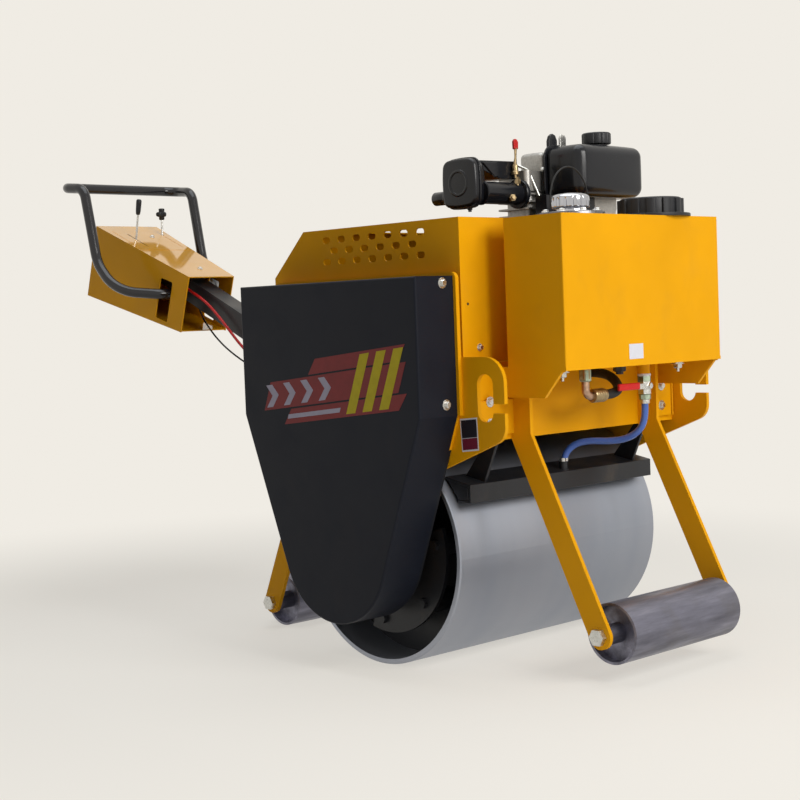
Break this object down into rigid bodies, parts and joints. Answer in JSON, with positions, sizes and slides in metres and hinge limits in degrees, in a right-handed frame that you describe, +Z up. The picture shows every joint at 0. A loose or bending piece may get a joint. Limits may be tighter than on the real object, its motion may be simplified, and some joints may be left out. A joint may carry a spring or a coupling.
{
  "type": "walk-behind road roller",
  "caption": "Walk-behind single-drum vibratory road roller with a boxed drive cover, open diesel engine, front tank, support rollers and a folding handle.",
  "frame": {"origin": "on the ground, under the middle of the bounding box", "axes": "+X forward, towards the tank; +Y to the left of someone looking forward; +Z up"},
  "size_m": [2.1782, 0.986, 1.253],
  "materials": {
    "yellow_paint": "gloss",
    "black_paint": "satin",
    "cover_paint": "satin",
    "drum_steel": "satin",
    "roller_steel": "scuffed",
    "bright_steel": "satin",
    "engine_black": "gloss",
    "cast_alloy": "matt",
    "black_plastic": "matt",
    "rubber": "matt",
    "handle_gloss": "gloss",
    "chrome": "polished",
    "brass": "satin",
    "blue_hose": "gloss",
    "red_sheath": "gloss"
  },
  "bodies": {
    "chassis": {"drum_bearings": "bright_steel", "side_plates": "yellow_paint", "cover_backplate": "yellow_paint", "drive_cover": "cover_paint", "front_beam": "yellow_paint", "rear_beam": "yellow_paint", "engine_deck": "black_paint", "hood": "yellow_paint", "tank_bracket": "yellow_paint", "tank": "yellow_paint", "breather_cap": "chrome", "water_cap": "black_plastic", "front_legs": "yellow_paint", "rear_legs": "yellow_paint", "roller_axles": "bright_steel", "scraper_bar": "black_paint", "sprinkler_pipe": "black_plastic", "travel_motor": "black_paint", "handle_bracket": "yellow_paint", "engine_mounts": "rubber", "engine_block": "cast_alloy", "cylinder": "cast_alloy", "rocker_cover": "cast_alloy", "fan_housing": "engine_black", "pump": "cast_alloy", "fuel_tank": "engine_black", "fuel_cap": "black_plastic", "muffler": "engine_black", "air_cleaner": "engine_black", "injector_pipe": "bright_steel", "oil_elbow": "brass", "ball_valve": "bright_steel", "tap_lever": "red_sheath", "oil_hose": "rubber", "water_hose": "blue_hose"},
    "drum": {"drum_shell": "drum_steel", "drum_core": "black_paint", "drum_carriers": "black_paint"},
    "front_roller": {"front_roller": "roller_steel"},
    "rear_roller": {"rear_roller": "roller_steel"},
    "handle": {"arm_tube": "black_paint", "console": "yellow_paint", "handlebar": "handle_gloss", "travel_lever": "black_plastic", "throttle_lever": "black_plastic", "red_cable": "red_sheath", "thin_cable": "rubber"}
  },
  "joints": [
    {"name": "drum_spin", "type": "hinge", "parent": "chassis", "child": "drum", "pos_m": [0.46706, 0, 0.265], "axis": [0, 1, 0], "continuous": true},
    {"name": "front_roller_spin", "type": "hinge", "parent": "chassis", "child": "front_roller", "pos_m": [1.02206, 0, 0.11], "axis": [0, 1, 0], "continuous": true},
    {"name": "rear_roller_spin", "type": "hinge", "parent": "chassis", "child": "rear_roller", "pos_m": [-0.08494, 0, 0.067], "axis": [0, 1, 0], "continuous": true},
    {"name": "handle_fold", "type": "hinge", "parent": "chassis", "child": "handle", "pos_m": [0.09506, 0, 0.561], "axis": [0, 1, 0], "range_deg": [0, 55]}
  ]
}
